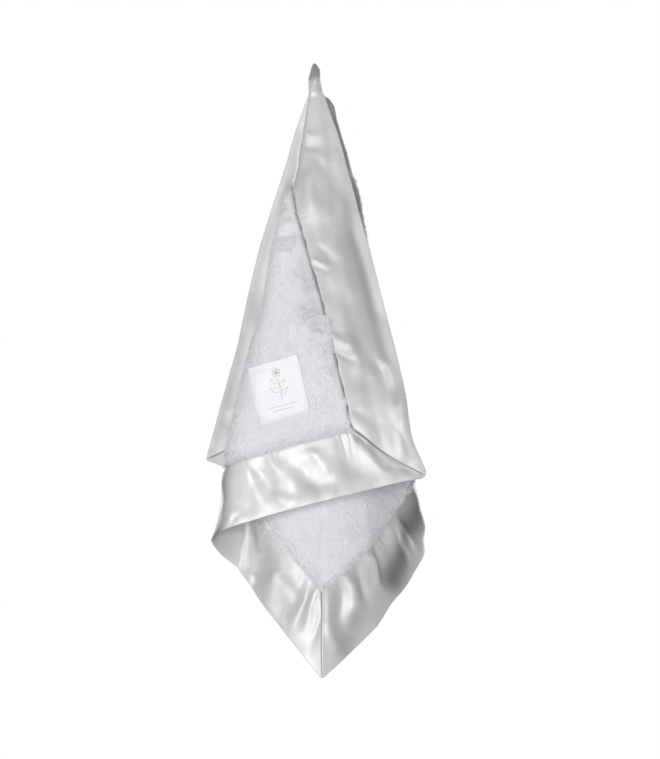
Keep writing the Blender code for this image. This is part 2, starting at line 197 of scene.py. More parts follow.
def middle_surface(reach, angle):
    """Points of the surface midway between the two faces of the cloth."""
    angle = np.clip(angle, -FAN_MARGIN + 1, FAN + FAN_MARGIN - 1)
    place = smooth((reach - CURL_END) / (FOLD_START - CURL_END)) * (TABLE_COUNT - 1)
    side, depth = np.zeros_like(angle), np.zeros_like(angle)
    for k in range(TABLE_COUNT):
        weight = np.clip(1 - np.abs(place - k), 0.0, 1.0)
        if not weight.any():
            continue
        angles, table_side, table_depth = ray_table(k / (TABLE_COUNT - 1))
        side += weight * np.interp(angle, angles, table_side)
        depth += weight * np.interp(angle, angles, table_depth)
    row = np.interp(angle, SWAY_ANGLES, range(len(SWAY_ANGLES)))
    for k, shares in enumerate(SWAY_SHARES):
        side += np.clip(1 - np.abs(row - k), 0.0, 1.0) * np.interp(reach, SWAY_REACHES, shares)
    side += smooth((reach - 0.180) / 0.160) * np.interp(angle, DRIFT_ANGLES, DRIFT_SHARES)
    side += SHOULDER_SHARE * bell(reach - SHOULDER_REACH, 0.009) * bell(angle - BACK_FOLD, 8.0)
    length = reach * np.interp(angle, SLACK_ANGLES, SLACK_SHARES)
    down = np.sqrt(np.maximum(1 - side ** 2 - depth ** 2, 0.01))
    dome = TIP_DOME * np.sin(math.pi / 2 * np.clip(reach / 0.011, 0.0, 1.0) ** 0.75)
    girth = length + (dome - length) * (1 - smooth((reach - 0.007) / 0.009))
    sideways = girth * side
    for sign, limits in ((-1, TIP_LEFT), (1, TIP_RIGHT)):
        over = sign * (sideways - np.interp(reach, TIP_REACHES, limits))
        sideways = sideways - sign * 0.0005 * np.logaddexp(0.0, over / 0.0005)
    into = girth * depth + TIP_LEAN * np.clip(1 - reach / 0.017, 0.0, 1.0) ** 1.3
    into = into - TIP_DIP * bell(reach - 0.0150, 0.0060)
    rise = TIP_RISE * np.clip(1 - reach / 0.012, 0.0, 1.0)
    return np.stack([sideways, into, GRIP_BELOW_TIP + rise - length * down], axis=-1)


# The free corners are turned and so not sharp: place and radius
CORNER_ROUNDS = ((SIDE, 0.0, 0.0075), (SIDE, SIDE, 0.0024), (0.0, SIDE, 0.0030))

# Places where the edge swings in or out of its straight line: place, move and spread
EDGE_SWINGS = ((SIDE, 0.0, 0.0014, -0.0010, 0.013), (0.322, 0.0, 0.0, 0.0040, 0.022),
               (0.250, SIDE, 0.0, 0.0030, 0.014), (0.340, 0.110, 0.0008, 0.0, 0.014),
               (SIDE, 0.200, 0.0010, 0.0, 0.020))


def shape_outline(along, across):
    """Flat places once the free corners are rounded and the edges swing."""
    shift_a, shift_w = 0.0, 0.0
    for corner_a, corner_w, radius in CORNER_ROUNDS:
        near_a = np.clip(1 - np.abs(corner_a - along) / radius, 0.0, 1.0)
        near_w = np.clip(1 - np.abs(corner_w - across) / radius, 0.0, 1.0)
        pull_a = radius * near_a * (1 - np.sqrt(1 - near_w ** 2 / 2))
        pull_w = radius * near_w * (1 - np.sqrt(1 - near_a ** 2 / 2))
        shift_a = shift_a + np.sign(SIDE / 2 - corner_a) * pull_a
        shift_w = shift_w + np.sign(SIDE / 2 - corner_w) * pull_w
    for place_a, place_w, move_a, move_w, spread in EDGE_SWINGS:
        share = bell(np.hypot(along - place_a, across - place_w), spread)
        shift_a = shift_a + move_a * share
        shift_w = shift_w + move_w * share
    return along + shift_a, across + shift_w


def base_frame(along, across):
    """Points of the middle surface and its unit normals, which point out of the label's face."""
    shape = np.broadcast(along, across).shape
    along, across = shape_outline(along, across)
    along = np.broadcast_to(along, shape).astype(float).ravel()
    across = np.broadcast_to(across, shape).astype(float).ravel()
    reach = np.maximum(np.hypot(along, across), 0.0004)
    angle = np.degrees(np.arctan2(across, along))
    step = 0.0005
    turn = np.degrees(step / np.maximum(reach, TIP_BLUNT))
    over = middle_surface(reach, angle + turn) - middle_surface(reach, angle - turn)
    down = middle_surface(reach + step, angle) - middle_surface(np.abs(reach - step), angle)
    normal = unit(np.cross(over, down))
    return middle_surface(reach, angle).reshape(*shape, 3), normal.reshape(*shape, 3)


def edge_distance(along, across):
    return np.minimum(np.minimum(along, across), np.minimum(SIDE - along, SIDE - across))


# Folds of the cloth seen in its satin: from and to on the flat cloth, half width, height (mm)
STROKES = (
    # front upper border, from the hung corner down
    (52, 30, 62, 12, 3.0, 0.8), (60, 34, 72, 22, 3.2, -0.8), (70, 30, 84, 12, 3.5, 0.9),
    (80, 29, 128, 32, 8.0, 3.9), (112, 16, 150, 21, 7.5, 2.2), (150, 22, 248, 25, 9.5, 2.9),
    (140, 5, 250, 6, 5.5, -1.2), (150, 40, 170, 33, 4.0, -1.0),
    (158, 49, 166, 38, 2.6, 0.9), (163, 50, 172, 38, 2.6, -0.7),
    (228, 50, 240, 34, 4.5, 1.6), (240, 48, 250, 36, 3.0, -1.2),
    (256, 20, 290, 11, 6.0, -2.4), (232, 34, 266, 29, 6.0, 2.4), (262, 10, 318, 4, 5.5, 2.4),
    (284, 6, 334, 10, 15.0, 3.6), (304, 52, 351, 5, 4.6, -2.2), (290, 46, 300, 36, 3.5, -1.0),
    (318, 14, 340, 14, 4.0, 1.0),
    # front lower border, on the label's side
    (306, 124, 338, 108, 4.2, 1.6), (306, 118, 336, 100, 4.6, -1.7),
    (330, 104, 348, 84, 8.0, -2.8), (316, 92, 334, 76, 6.0, 2.4), (306, 62, 352, 56, 6.5, -2.4),
    (312, 44, 346, 30, 5.0, 1.8),
    (316, 138, 340, 128, 6.0, -2.2), (308, 148, 350, 140, 6.0, 2.2), (330, 164, 350, 150, 5.0, -2.0),
    (340, 128, 354, 112, 5.0, 2.0), (305, 166, 330, 172, 5.0, 1.2),
    # front lower border, seen from the other side below the front fold
    (340, 222, 352, 240, 6.0, -1.6), (318, 240, 352, 266, 7.0, 1.6), (344, 250, 350, 262, 5.0, 1.8),
    (322, 268, 354, 276, 6.5, -2.0), (306, 286, 352, 292, 6.5, 2.2), (316, 300, 350, 308, 4.0, -1.8),
    (306, 304, 344, 318, 3.0, 1.8), (308, 308, 346, 328, 2.6, -1.6),
    # back lower border, seen below the front fold
    (302, 311, 330, 346, 3.2, -2.8), (294, 311, 320, 344, 4.0, 3.6), (285, 308, 300, 340, 4.4, -4.2),
    (272, 308, 286, 344, 3.6, 2.8), (262, 306, 272, 340, 4.0, -4.8), (250, 308, 262, 348, 5.0, 3.4),
    (222, 308, 244, 350, 7.5, -6.4), (206, 312, 214, 350, 7.0, 6.4), (186, 308, 196, 350, 7.0, -5.2),
    (168, 312, 172, 348, 6.0, 2.4), (214, 330, 196, 352, 5.0, 1.6),
    # folds at the left end of the front lower border and in the flap
    (318, 176, 350, 192, 7.0, -2.4), (336, 196, 352, 206, 5.0, 1.8), (344, 166, 354, 178, 2.2, 0.9),
    (348, 162, 355, 172, 1.8, -0.8), (20, 300, 30, 340, 5.0, 1.4),
    # back borders, seen from behind and from the sides
    (10, 318, 60, 330, 8.0, 2.6), (60, 312, 92, 346, 7.0, -3.0), (104, 310, 120, 350, 8.0, 3.4),
    (140, 308, 150, 350, 7.5, -2.2), (12, 90, 30, 160, 8.0, -2.6), (28, 150, 16, 230, 8.0, 3.2),
    (8, 220, 34, 280, 7.0, -3.2), (36, 250, 20, 310, 6.0, 2.8), (14, 300, 44, 322, 6.0, -2.4),
)


def beside_line(along, across, a0, w0, a1, w1):
    """Share of the way along a line given in mm, distance to its side and its length."""
    run_a, run_w = (a1 - a0) / 1000, (w1 - w0) / 1000
    out_a, out_w = along - a0 / 1000, across - w0 / 1000
    length = math.hypot(run_a, run_w)
    travel = (out_a * run_a + out_w * run_w) / length ** 2
    return travel, (out_w * run_a - out_a * run_w) / length, length


def stroke_height(along, across):
    """Sum of the single folds: soft ridges and valleys, a little bowed, that widen and fade."""
    height = np.zeros(np.broadcast(along, across).shape)
    shift_a = along + 0.0035 * mottle(along, across, 0.027, 11)
    shift_w = across + 0.0035 * mottle(along, across, 0.027, 12)
    for k, (*line, half, rise) in enumerate(STROKES):
        travel, aside, length = beside_line(shift_a, shift_w, *line)
        inside = np.clip(travel, 0.0, 1.0)
        bow = 0.32 * length * math.sin(2.4 * k + 1) * inside * (1 - inside)
        width = half / 1000 * (0.88 + 0.6 * inside)
        fade = smooth((travel + 0.22) / 0.45) * smooth((1.22 - travel) / 0.55)
        height += 0.66 * rise / 1000 * fade * bell(aside - bow, width)
    return height


def wave(along, across):
    """Soft undulation shared by both faces, gentle in the plush and stronger in the satin:
    folds that run down from the hung corner, fine ones further down, and the single folds."""
    distance = edge_distance(along, across)
    reach = np.hypot(along, across)
    turn = np.degrees(np.arctan2(across, np.maximum(along, 1e-6)))
    in_border = smooth((BORDER + 0.006 - distance) / 0.020)
    warp = 0.35 * mottle(along, across, 0.050, 3)
    plain = 0.0011 * mottle(along, across, 0.060, 6)
    broad = 0.0048 * reach * noise(turn / 6.5 + warp, reach / 0.085, 5)
    fine = 0.0002 * mottle(along, across, 0.021, 8) * smooth((reach - 0.10) / 0.10)
    fine = fine + 0.0002 * mottle(along, across, 0.010, 9) * smooth((reach - 0.27) / 0.05)
    calm = smooth((reach - 0.030) / 0.050)
    single = stroke_height(along, across) * smooth((BORDER + 0.012 - distance) / 0.014)
    return calm * (plain + in_border * (broad + fine)) + smooth((reach - 0.030) / 0.02) * single


def lifted(along, across, lift, shift):
    """Points at a lift off the middle of the cloth and a shift by its waves, and the normals."""
    point, normal = base_frame(along, across)
    return point + normal * (np.asarray(lift) + shift)[..., None], normal


def cloth(along, across, lift):
    """Points on the cloth at a lift off its middle, waves included."""
    return lifted(along, across, lift, wave(along, across))[0]


# Making objects

def put(mesh, name, material, nodes=()):
    """Object in the scene that rides with the cloth and stands for the given nodes."""
    mesh.shade_smooth()
    piece = bpy.data.objects.new(name, mesh)
    mesh.materials.append(material)
    bpy.context.scene.collection.objects.link(piece)
    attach(piece, "root")
    if nodes:
        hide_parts(*nodes)
    return piece


def mesh_from(name, points, quads, triangles=(), flat=None, tone=None):
    """Mesh of quads and triangles, with flat places and tones kept on its points."""
    mesh = bpy.data.meshes.new(name)
    points = np.asarray(points, dtype=np.float32).reshape(-1, 3)
    faces = [np.asarray(f, dtype=np.int32) for f in (quads, triangles) if len(f)]
    totals = np.concatenate([np.full(len(f), f.shape[1], dtype=np.int32) for f in faces])
    mesh.vertices.add(len(points))
    mesh.vertices.foreach_set("co", points.ravel())
    mesh.loops.add(totals.sum())
    mesh.loops.foreach_set("vertex_index", np.concatenate([f.ravel() for f in faces]))
    mesh.polygons.add(len(totals))
    mesh.polygons.foreach_set("loop_start", (np.cumsum(totals) - totals).astype(np.int32))
    mesh.update(calc_edges=True)
    for key, kind, field, values in (("flat", "FLOAT_VECTOR", "vector", flat),
                                     ("tone", "FLOAT", "value", tone)):
        if values is not None:
            layer = mesh.attributes.new(key, kind, "POINT")
            layer.data.foreach_set(field, np.asarray(values, dtype=np.float32).ravel())
    mesh.validate()
    return mesh


def closed_shell(name, outer, inner, flat, tone=None):
    """Closed mesh between two grids of points, its faces pointing out."""
    rows, cols = outer.shape[:2]
    k = np.arange(rows * cols).reshape(rows, cols)
    top = np.stack([k[:-1, :-1], k[:-1, 1:], k[1:, 1:], k[1:, :-1]], axis=-1).reshape(-1, 4)
    bottom = top[:, ::-1] + rows * cols
    ring = np.concatenate([k[0, :-1], k[:-1, -1], k[-1, :0:-1], k[:0:-1, 0]])
    after = np.roll(ring, -1)
    rim = np.stack([after, ring, ring + rows * cols, after + rows * cols], axis=-1)
    quads = np.concatenate([top, bottom, rim])
    points = np.concatenate([outer.reshape(-1, 3), inner.reshape(-1, 3)])
    a, b, c, d = (points[quads[:, i]] for i in range(4))
    volume = (a * np.cross(b, c)).sum() + (a * np.cross(c, d)).sum()
    if volume < 0:
        quads = quads[:, ::-1]
    twice = [None if values is None else np.concatenate([values, values]) for values in (flat, tone)]
    return mesh_from(name, points, quads, flat=twice[0], tone=twice[1])


# Materials

def feed(tree, node, inputs):
    """Plain values, or links from other nodes, into a node's sockets."""
    for socket, value in inputs.items():
        if isinstance(value, bpy.types.NodeSocket):
            tree.links.new(value, node.inputs[socket])
        else:
            node.inputs[socket].default_value = value
    return node


def add_node(tree, kind, inputs, **settings):
    node = tree.nodes.new(kind)
    for name, value in settings.items():
        setattr(node, name, value)
    return feed(tree, node, inputs)


def new_material(name, inputs):
    """Material whose shader has the given values on its own sockets."""
    material = bpy.data.materials.new(name)
    material.use_nodes = True
    tree = material.node_tree
    return material, tree, feed(tree, tree.nodes["Principled BSDF"], inputs)


def kept_on_points(tree, name):
    """Node for what a mesh keeps on its points: its flat places or its tones."""
    return add_node(tree, "ShaderNodeAttribute", {}, attribute_name=name)


def flat_vector(tree, scale):
    """Places on the flat cloth in metres, scaled."""
    inputs = {"Vector": kept_on_points(tree, "flat").outputs["Vector"], "Scale": scale}
    return add_node(tree, "ShaderNodeMapping", inputs).outputs["Vector"]


def noise_texture(tree, vector, detail, scale=1.0):
    inputs = {"Vector": vector, "Scale": scale, "Detail": detail}
    return add_node(tree, "ShaderNodeTexNoise", inputs).outputs["Fac"]


def colour_ramp(tree, source, low, high):
    """Colour that runs between two stops, each a place on the ramp and a colour."""
    ramp = add_node(tree, "ShaderNodeValToRGB", {"Fac": source})
    for element, (position, colour) in zip(ramp.color_ramp.elements, (low, high)):
        element.position = position
        element.color = (*colour, 1)
    return ramp.outputs["Color"]


def multiplied(tree, one, other):
    inputs = {"Factor": 1.0, "A": one, "B": other}
    return add_node(tree, "ShaderNodeMix", inputs, data_type="RGBA", blend_type="MULTIPLY").outputs["Result"]


def larger(tree, *sources):
    """Largest of several values."""
    most = sources[0]
    for source in sources[1:]:
        compare = add_node(tree, "ShaderNodeMath", {0: most, 1: source}, operation="MAXIMUM")
        most = compare.outputs["Value"]
    return most


def map_range(tree, source, from_low, from_high, to_low, to_high, **settings):
    inputs = {"Value": source, "From Min": from_low, "From Max": from_high,
              "To Min": to_low, "To Max": to_high}
    return add_node(tree, "ShaderNodeMapRange", inputs, **settings).outputs["Result"]


def bump(tree, height, strength, distance):
    inputs = {"Height": height, "Strength": strength, "Distance": distance}
    return add_node(tree, "ShaderNodeBump", inputs).outputs["Normal"]


def satin_material(name, tone):
    """Silky weave: soft broad gloss with fine floats along the cloth, darker where in shade."""
    material, tree, shader = new_material(name, {
        "Metallic": 0.20, "Specular IOR Level": 0.6, "Sheen Weight": 0.12, "Sheen Roughness": 0.4})
    cloud = noise_texture(tree, flat_vector(tree, (60, 60, 60)), 3.0)
    floats = noise_texture(tree, flat_vector(tree, (900, 4200, 900)), 2.0)
    colour = colour_ramp(tree, cloud, (0.3, (tone, tone, tone * 1.006)),
                         (0.7, (tone * 1.05, tone * 1.05, tone * 1.056)))
    shade = colour_ramp(tree, kept_on_points(tree, "tone").outputs["Fac"],
                        (0.0, (1, 1, 1)), (1.0, (0.12, 0.12, 0.12)))
    feed(tree, shader, {"Base Color": multiplied(tree, colour, shade),
                        "Roughness": map_range(tree, cloud, 0.0, 1.0, 0.45, 0.53),
                        "Normal": bump(tree, floats, 0.12, 0.0002)})
    return material


def plush_material(name, low, high):
    """Soft pile: matt with a light sheen, mottled in tufts; the dark end of its ramp is painted shade, at
    the roots and in the seams and turns.
    """
    material, tree, shader = new_material(name, {
        "Roughness": 0.9, "Specular IOR Level": 0.2, "Sheen Weight": 0.6, "Sheen Roughness": 0.5})
    colour = colour_ramp(tree, kept_on_points(tree, "tone").outputs["Fac"], (0.0, low), (1.0, high))
    cloud = noise_texture(tree, flat_vector(tree, (90, 90, 90)), 4.0)
    tint = colour_ramp(tree, cloud, (0.3, (0.95, 0.95, 0.955)), (0.7, (1, 1, 1)))
    feed(tree, shader, {"Base Color": multiplied(tree, colour, tint)})
    return material


def thread_material(name, colour):
    """Twisted sewing thread."""
    material, tree, shader = new_material(name, {"Roughness": 0.55, "Sheen Weight": 0.2})
    position = add_node(tree, "ShaderNodeTexCoord", {}).outputs["Object"]
    twist = noise_texture(tree, position, 2.0, scale=2600)
    dark = [part * 0.86 for part in colour]
    feed(tree, shader, {"Base Color": colour_ramp(tree, twist, (0.35, dark), (0.65, colour)),
                        "Normal": bump(tree, twist, 0.4, 0.0001)})
    return material


def label_material(name):
    """White damask ribbon: fine crossing threads."""
    material, tree, shader = new_material(name, {"Roughness": 0.62, "Sheen Weight": 0.25})
    threads = []
    for direction in "XY":
        inputs = {"Vector": flat_vector(tree, (640, 640, 640)), "Scale": 1.0, "Distortion": 0.6}
        texture = add_node(tree, "ShaderNodeTexWave", inputs, bands_direction=direction)
        threads.append(texture.outputs["Fac"])
    weave = larger(tree, *threads)
    colour = colour_ramp(tree, weave, (0.2, (0.77, 0.77, 0.80)), (0.9, (0.83, 0.83, 0.865)))
    feed(tree, shader, {"Base Color": colour, "Normal": bump(tree, weave, 0.35, 0.00015)})
    return material


# Satin border

GATHER_SHARES = {"front_upper": 0.15, "front_lower": 1.1, "back_upper": 0.8, "back_lower": 1.2}

# Where the satin is in shade, for a strip and face: from and to, half width (mm) and depth
SATIN_SHADES = {
    ("front_upper", 1): ((140, 12, 232, 18, 30.0, 0.18), (146, 12, 256, 12, 5.5, 0.32),
                         (284, 9, 304, 8, 4.5, 0.28)),
    ("front_upper", -1): ((14, 26, 50, 86, 5.0, 0.60),),
    ("front_lower", 1): ((298, 168, 360, 191, 10.0, 0.85), (314, 48, 353, 8, 6.0, 0.52),
                         (338, 62, 353, 22, 13.0, 0.24), (341, 98, 349, 80, 6.5, 0.36)),
    ("front_lower", -1): ((320, 226, 328, 240, 7.0, 0.40), (325, 190, 338, 285, 28.0, 0.27),
                          (352, 300, 352, 326, 5.5, 0.24)),
    ("back_upper", 1): ((4, 60, 4, 350, 3.2, 0.22),),
    ("back_upper", -1): ((14, 26, 50, 86, 5.0, 0.60),),
    ("back_lower", -1): ((176, 312, 206, 330, 16.0, 0.88), (210, 326, 254, 342, 12.0, 0.85),
                         (306, 338, 328, 350, 8.0, 0.36)),
}


def satin_shade(which, face, along, across):
    """Depth of the shade on a strip: the listed places and the turned tip."""
    shade = 0.36 * (1 - smooth((np.hypot(along, across) - 0.0130) / 0.0022))
    for *line, half, depth in SATIN_SHADES.get((which, face), ()):
        travel, aside, length = beside_line(along, across, *line)
        away = np.hypot(aside, length * (travel - np.clip(travel, 0.0, 1.0)))
        shade = np.maximum(shade, depth * bell(away * 1000, half))
    return shade


def seam_height(distance):
    """Outer half thickness of a binding at a distance from the cloth's edge."""
    share = np.clip((distance - SLOT_END + SEAM_TAPER + 0.010) / (SEAM_TAPER + 0.008), 0.0, 1.0)
    return SATIN + GAP / 2 + (SLOT_HALF_HEIGHT - GAP / 2) * smooth(share)


def to_flat(start, distance, which):
    """Flat place of a point at a run along one edge and a distance in from it."""
    return {"front_upper": (start, distance), "back_upper": (distance, start),
            "front_lower": (SIDE - distance, start), "back_lower": (start, SIDE - distance)}[which]


def gathers(start, from_seam, seed):
    """Small puckers where the stitching draws the satin in, fading away from the seam."""
    line = start / 0.0044 + 2.2 * noise(start / 0.019, seed, seed)
    ridge = (1 - np.abs(noise(line, from_seam / 0.030, seed + 1))) ** 2
    strength = 0.15 + 0.85 * smooth(noise(start / 0.024, 2.5, seed + 2) + 0.4)
    run = 0.005 + 0.009 * smooth(noise(start / 0.015, 7.5, seed + 3) + 0.3)
    rise = (1 - np.exp(-from_seam / 0.0009)) * np.exp(-from_seam / run)
    return 0.0013 * strength * rise * (ridge - 0.35)


def binding_face(which, face, column, share, seed):
    """Flat places, lift and shade over one face of a strip, by distance from its edge."""
    upper = "upper" in which
    first, last = column, SIDE - column
    bend = 2 * MITRE_BEND * np.sin(math.pi * column / BORDER) ** 2
    if (which, face) == ("front_upper", 1):
        last = last + bend
    if (which, face) == ("front_lower", 1):
        first = first + bend
    start = first + (last - first + (0.0007 if upper else 0.0)) * share
    from_seam = BORDER - column
    from_mitre = np.minimum(start - first, last - start) / math.sqrt(2)
    near = np.maximum(from_mitre, 0.0)
    at_hung = (start < SIDE / 2) & upper
    at_low = (start > SIDE / 2) & (not upper)

    # the satin tucks in at the seam, puckers along it and swells beside the mitres
    turned_in = np.clip(1 - from_seam / 0.0013, 0.0, 1.0)
    lift = seam_height(column) - (1 - np.sqrt(1 - turned_in ** 2)) * 0.0012
    pucker = gathers(start, from_seam, seed + 10 * face) * smooth(from_mitre / 0.006)
    lift = lift + GATHER_SHARES[which] * pucker
    swell = smooth(column / 0.006) * smooth(from_seam / 0.004 + 0.3)
    swell = swell * np.where(at_hung, smooth((column - 0.016) / 0.010), 1.0)
    lip = 0.0004 if upper else 0.0005 if (which, face) == ("front_lower", 1) else 0.0008
    lift = lift + lip * swell * np.exp(-near / 0.0045)

    # the mitre's groove, with painted shade in it and along the satin's tuck at the seam
    groove = bell(near, 0.0004) * np.where(at_low, 0.55, 1.0)
    lift = lift - groove * (lift - 0.00042) * 0.95 * np.where(at_hung, smooth(column / 0.020), 1.0)
    groove_shade = 0.74 * groove * smooth(column / 0.004) * np.where(at_hung, 0.2, 1.0)
    groove_shade = np.maximum(groove_shade, 0.6 * np.exp(-from_seam / 0.0004))

    flutter = 0.0002 + 0.00022 * noise(start / 0.017 + 3.1 * face, column / 0.017, seed + 5)
    lift = lift + flutter * smooth(column / 0.004)
    wander = 0.0009 * noise(start / 0.0098 + 7.7 * face, 3.3, seed + 6)
    wander = wander + 0.0004 * noise(start / 0.0040, 5.3, seed + 7)
    wander = wander * np.exp(-from_seam / 0.003) * smooth(from_mitre / 0.004)
    along, across = to_flat(start, column + wander, which)
    return along, across, lift, np.maximum(groove_shade, satin_shade(which, face, along, across))


def binding_turn(which, share, thin):
    """Flat places, lift and shade of the rows that carry a strip round the cloth's edge."""
    half = 0.00055
    turns = np.linspace(0.0, math.pi, 7)[1:-1, None] + 0.0 * share
    shrink = (half - thin) / half
    start = 0.0004 + (SIDE - 0.0008) * share + 0.0 * turns
    along, across = to_flat(start, (0.0004 - half * np.sin(turns)) * shrink, which)
    return along, across, half * np.cos(turns) * shrink, satin_shade(which, 1, along, across)


def binding_cloth(name, which, material, seed):
    """One satin strip folded over an edge, mitred at both ends: a closed thin shell."""
    spacing = 0.0011 if FINE else 0.0022
    seam_rows = [BORDER, BORDER - 0.0003, BORDER - 0.0007]
    rows = np.linspace(BORDER - 0.0013, 0.0004, int(BORDER / spacing))
    column = np.concatenate([seam_rows, rows])[:, None]
    ends = np.array([0.0, 0.0013, 0.0030])
    middle = np.linspace(0.0050, 0.9950, int(SIDE / spacing) - 3)
    share = np.concatenate([ends, middle, 1 - ends[::-1]])[None, :]
    faces = [(face, binding_face(which, face, column[::face], share, seed)) for face in (1, -1)]
    layers = []
    for thin in (0.0, SATIN * 0.9):
        parts = [(along, across, face * np.maximum(lift - thin, 0.00018), shade)
                 for face, (along, across, lift, shade) in faces]
        parts.insert(1, binding_turn(which, share, thin))
        layers.append([np.concatenate([part[i] for part in parts]) for i in range(4)])
    outer, inner = (cloth(*layer[:3]) for layer in layers)
    flat = np.stack(layers[0][:3], axis=-1).reshape(-1, 3)
    mesh = closed_shell(name, outer, inner, flat, layers[1][3].ravel())
    return put(mesh, name, material, ["satin_binding_" + which])


# Plush

# Places where the pile has been stroked up: middle on the flat cloth and reach in mm, share
RUFFLES = ((92, 58, 8, 5, 0.4), (118, 58, 7, 5, 0.5), (142, 65, 5, 11, 0.75),
           (170, 58, 10, 7, 0.9), (181, 58, 7, 6, 0.8), (204, 64, 11, 9, 1.0),
           (217, 60, 8, 7, 0.9), (236, 58, 7, 4, 0.6), (252, 57, 8, 4, 0.5))


def ruffled(along, across):
    """Where the pile has been stroked up and stands in loose tufts, from 0 to 1."""
    ragged_a = along + 0.004 * mottle(along, across, 0.010, 27)
    ragged_w = across + 0.004 * mottle(along, across, 0.010, 29)
    loose = 0.35 * smooth((BORDER + 0.011 - (SIDE - along)) / 0.008)
    for middle_a, middle_w, reach_a, reach_w, share in RUFFLES:
        out = np.hypot((ragged_a * 1000 - middle_a) / reach_a, (ragged_w * 1000 - middle_w) / reach_w)
        loose = np.maximum(loose, share * smooth(1.5 - out))
    patches = smooth((mottle(along, across, 0.022, 30) - 0.25) / 0.5)
    return np.clip(loose + 0.10 * patches, 0.0, 1.0)


def spill_share(along, across, face):
    """How far the pile of an edge spills over the satin: hardly along the front upper seam."""
    upper = 0.12 + 0.88 * smooth((along - 0.203) / 0.008) * smooth((0.243 - along) / 0.008)
    tufts = smooth((noise(along / 0.0060, 1.5, 28) - 0.05) / 0.2)
    upper = np.maximum(upper, 0.75 * tufts * smooth((along - 0.235) / 0.01))
    at_fold = bell(across - 0.171, 0.012) * (along > 0.29) * (face > 0)
    at_upper = (across - BORDER < 0.006) & (across < along) & (across < SIDE - along)
    return np.where(at_upper & (face > 0), upper, 1.0 - 0.85 * at_fold)


def back_turn_shade(along, across, face):
    """Where the pile in the turn at the back fold is thinned and painted darker as shade, from 0 to 1."""
    turn = np.degrees(np.arctan2(across, along))
    pressed = smooth(1.6 - np.abs(turn - 60.0) / 2.2)
    return pressed * smooth((0.300 - np.hypot(along, across)) / 0.08) * (face < 0)


def outside_label(along, across):
    """Distance out of the label's outline, negative under it."""
    out_a = np.abs(along - (LABEL_LOW - LABEL_LENGTH / 2)) - LABEL_LENGTH / 2
    out_w = np.abs(across - (LABEL_FROM_UPPER_EDGE + LABEL_WIDTH / 2)) - LABEL_WIDTH / 2
    return np.maximum(out_a, out_w)


def pile_height(along, across, face):
    """Height of the dense pile over the middle of the cloth."""
    distance = edge_distance(along, across)
    gap = 0.0005 + 0.0008 * mottle(along, across, 0.0055, 24)
    rise = np.sqrt(np.clip((distance - BORDER - gap) / 0.0018, 0.0, 1.0))
    tufts = noise(along / 0.0034 + 9 * face, across / 0.0034, 21)
    tufts = tufts + 0.6 * noise(along / 0.0016, across / 0.0016 + 5 * face, 22)
    big = noise(along / 0.0062 + 3 * face, across / 0.0062, 23)
    stand = PLUSH + 0.0003 + 0.0003 * tufts + 0.0024 * ruffled(along, across) * big
    height = GAP / 2 + 0.0002 + stand * rise
    if face > 0:
        pressed = 1 - smooth((outside_label(along, across) + 0.0005) / 0.003)
        height = height * (1 - pressed) + pressed * (GAP / 2 + PLUSH - 0.0003)
    return height


def plush_cloth(name, face, material):
    """Knitted backing with its dense pile as one closed sheet, its edge taken in by the seam."""
    spacing = 0.0013 if FINE else 0.0026
    inner = np.linspace(BORDER, FAR, len(np.arange(BORDER, FAR + spacing / 2, spacing)))
    outwards = np.array([SEAM_ALLOWANCE, SEAM_ALLOWANCE / 2])
    stops = np.concatenate([BORDER - outwards, inner, FAR + outwards[::-1]])
    along, across = np.meshgrid(stops, stops, indexing="ij")
    distance = edge_distance(along, across)
    top = np.where(distance < BORDER - 1e-6, GAP / 2 + 0.0002, pile_height(along, across, face))
    outer = cloth(along, across, face * top)
    under = cloth(along, across, face * np.full_like(along, GAP / 2))
    # backing tones: random mottle, with painted shade in the seam's ditch, under the stroked-up pile and in
    # the turn at the back fold
    bright = 0.84 + 0.07 * mottle(along, across, 0.006, 31)
    bright = bright * smooth((distance - BORDER - 0.0003) / 0.0016)
    # painted shade: the backing is darker under the stroked-up pile and in the turn at the back fold
    bright = bright * (1 - 0.38 * ruffled(along, across)) * (1 - 0.8 * back_turn_shade(along, across, face))
    flat = np.stack([along, across, top], axis=-1).reshape(-1, 3)
    mesh = closed_shell(name, outer, under, flat, bright.ravel())
    return put(mesh, name, material, [name.replace("_cloth", "")])


def nap(along, across, loose, seed):
    """Direction in which the pile lies on the flat cloth: down, with swirls where it is loose."""
    turn = 0.5 * mottle(along, across, 0.040, seed)
    turn = turn + (0.35 + 1.9 * loose) * mottle(along, across, 0.0095, seed + 1)
    base = math.radians(38) + turn
    return np.cos(base), np.sin(base)


def strand_roots(rng, face, count):
    """Scattered flat places of the strands, denser beside the seams, where the pile spills."""
    low, high = BORDER + 0.0003, FAR - 0.0003
    cells = int(math.sqrt(count))
    grid = np.arange(cells) / cells
    along, across = (low + (high - low) * (corner + rng.random(corner.shape) / cells).ravel()
                     for corner in np.meshgrid(grid, grid, indexing="ij"))
    edge = rng.integers(0, 4, count // 7)
    run = low + (high - low) * rng.random(count // 7)
    inset = 0.0024 * rng.random(count // 7)
    beside = np.where(edge % 2 == 0, low + inset, high - inset)
    along = np.concatenate([along, np.where(edge < 2, run, beside)])
    across = np.concatenate([across, np.where(edge < 2, beside, run)])
    keep = (spill_share(along, across, face) > 0.5) | (edge_distance(along, across) > BORDER + 0.0013)
    thin = np.maximum(0.35 * ruffled(along, across), 0.8 * back_turn_shade(along, across, face))
    keep &= rng.random(len(along)) > thin
    if face > 0:
        keep &= outside_label(along, across) > 0.0003
        keep &= (along < FAR - 0.006) | (np.abs(across - 0.178) > 0.014)
    return along[keep], across[keep]


def outward(place):
    """-1 or 1 where a place lies beside the seam at the near or far side of a panel."""
    return np.where(place - BORDER < 0.005, -1.0, np.where(FAR - place < 0.005, 1.0, 0.0))


